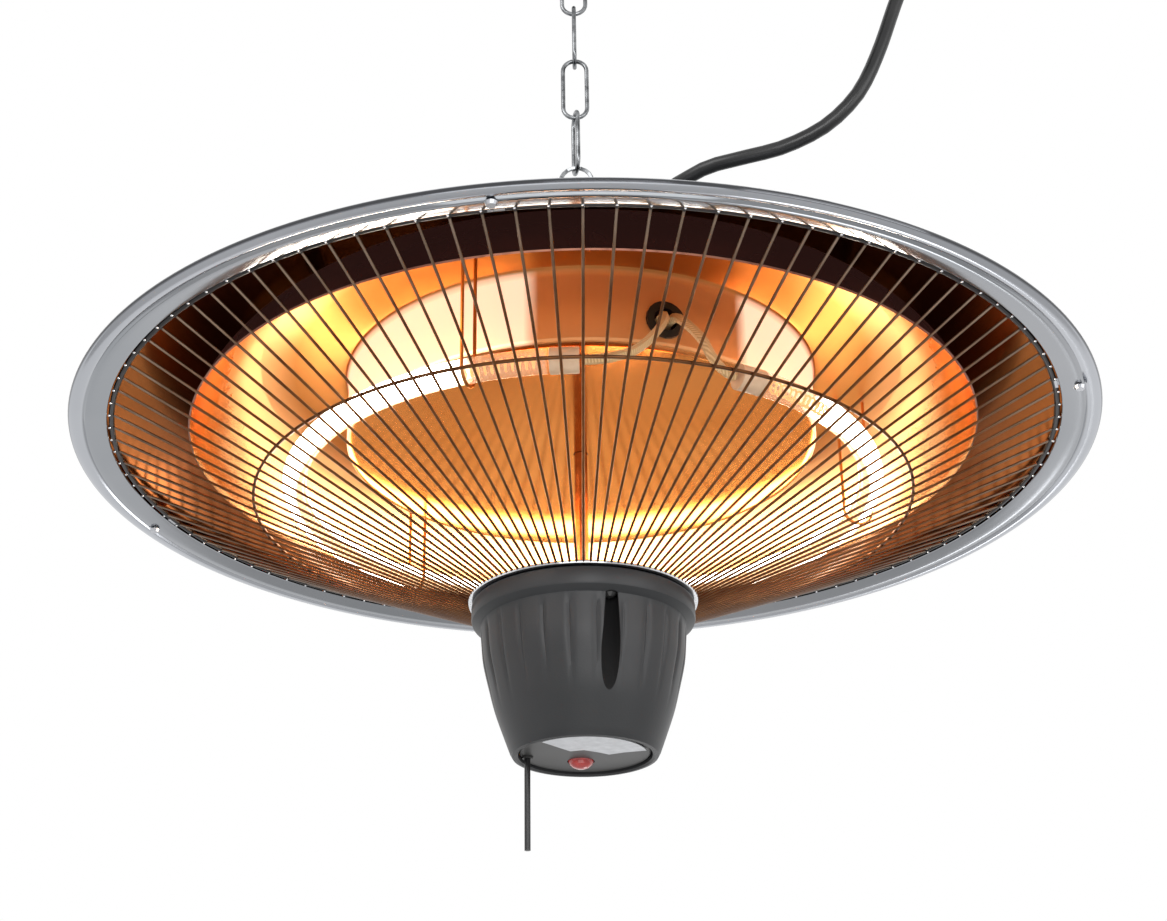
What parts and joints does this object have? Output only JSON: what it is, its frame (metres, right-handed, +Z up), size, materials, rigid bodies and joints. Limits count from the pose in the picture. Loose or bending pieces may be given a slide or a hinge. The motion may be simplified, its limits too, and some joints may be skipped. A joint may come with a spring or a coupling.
{
  "type": "hanging patio heater",
  "caption": "Ceiling-hung electric patio heater: round shade over a ring-shaped quartz heater with a wire grille, a switch cup with a pull cord, chain, hook and mains lead.",
  "frame": {"origin": "middle of the ceiling hook's plate, on its face against the ceiling", "axes": "+Z up into the ceiling, the heater's turning axis is Z, and the picture's camera looks along +Y with +X to its right"},
  "size_m": [0.425, 0.425, 0.469],
  "materials": {
    "zinc_steel": "zinc plated",
    "dark_steel": "dark plated",
    "shade_paint": "satin grey",
    "copper_reflector": "polished, copper toned",
    "black_plastic": "fine grain",
    "cup_plastic": "satin charcoal",
    "bronze_wire": "bronze plated",
    "quartz": "clear, lit",
    "ceramic": "glazed ceramic",
    "sleeve": "woven glass fibre",
    "black_rubber": "satin",
    "red_lens": "clear red",
    "label_foil": "satin foil, bare",
    "brass": "bright"
  },
  "bodies": {
    "ceiling": {"ceiling_hook": "zinc_steel", "cable_hook": "zinc_steel", "mains_coil": "black_rubber", "coil_tie": "black_plastic", "plug_body": "black_rubber", "plug_pin_left": "brass", "plug_pin_right": "brass"},
    "link_4": {"chain_link_4": "dark_steel"},
    "link_3": {"chain_link_3": "dark_steel"},
    "link_2": {"chain_link_2": "dark_steel"},
    "link_1": {"chain_link_1": "dark_steel"},
    "heater": {"eye_bolt": "zinc_steel", "eye_washer": "zinc_steel", "eye_nut": "zinc_steel", "top_cap": "black_plastic", "cap_screw_1": "zinc_steel", "cap_screw_2": "zinc_steel", "cap_screw_3": "zinc_steel", "terminal_block": "ceramic", "cable_gland": "black_plastic", "strain_relief": "black_rubber", "mains_cable": "black_rubber", "shade": "shade_paint", "reflector": "copper_reflector", "reflector_spacer_1": "zinc_steel", "reflector_spacer_2": "zinc_steel", "reflector_spacer_3": "zinc_steel", "centre_tube": "copper_reflector", "tube_nut_top": "zinc_steel", "tube_nut_cup": "zinc_steel", "quartz_tube": "quartz", "heating_coil": "zinc_steel", "tube_end_left": "ceramic", "tube_end_right": "ceramic", "tube_clip_1": "zinc_steel", "tube_clip_2": "zinc_steel", "tube_clip_3": "zinc_steel", "lead_grommet": "black_rubber", "lead_left": "sleeve", "lead_right": "sleeve", "grille": "bronze_wire", "grille_clip_1": "zinc_steel", "grille_clip_2": "zinc_steel", "grille_clip_3": "zinc_steel", "cup_housing": "cup_plastic", "cup_screw_1": "zinc_steel", "cup_screw_2": "zinc_steel", "cup_screw_3": "zinc_steel", "cup_bottom": "black_plastic", "label_plate": "label_foil", "pilot_lens": "red_lens", "pilot_lamp": "quartz", "cord_bushing": "black_plastic", "switch_body": "black_plastic", "switch_bracket": "zinc_steel", "lever_pin": "zinc_steel", "return_spring": "zinc_steel"},
    "pull": {"pull_cord": "black_rubber", "cord_bead": "brass"},
    "lever": {"switch_lever": "brass"}
  },
  "joints": [
    {"name": "swing_4", "type": "hinge", "parent": "ceiling", "child": "link_4", "pos_m": [0, 0, -0.0377], "axis": [1, 0, 0], "range_deg": [-12, 12], "deforming": ["mains_cable"]},
    {"name": "swing_3", "type": "hinge", "parent": "link_4", "child": "link_3", "pos_m": [0, 0, -0.0674], "axis": [0, 1, 0], "range_deg": [-12, 12], "deforming": ["mains_cable"]},
    {"name": "swing_2", "type": "hinge", "parent": "link_3", "child": "link_2", "pos_m": [0, 0, -0.0971], "axis": [1, 0, 0], "range_deg": [-12, 12], "deforming": ["mains_cable"]},
    {"name": "swing_1", "type": "hinge", "parent": "link_2", "child": "link_1", "pos_m": [0, 0, -0.1268], "axis": [-0.1908, 0.9816, 0], "range_deg": [-12, 12], "deforming": ["mains_cable"]},
    {"name": "heater_swing", "type": "hinge", "parent": "link_1", "child": "heater", "pos_m": [0, 0, -0.1565], "axis": [1, 0, 0], "range_deg": [-20, 20], "deforming": ["mains_cable"]},
    {"name": "cord_pull", "type": "slide", "parent": "heater", "child": "pull", "axis": [0, 0, -1], "range_m": [0, 0.008], "stiffness_N_per_m": 300},
    {"name": "lever_tilt", "type": "hinge", "parent": "heater", "child": "lever", "pos_m": [-0.005, 0.004, -0.4093], "axis": [0, -1, 0], "range_deg": [0, 26], "deforming": ["return_spring"]}
  ],
  "couplings": [
    {"joint": "lever_tilt", "follows": "cord_pull", "rad_per_m": 55.6}
  ]
}
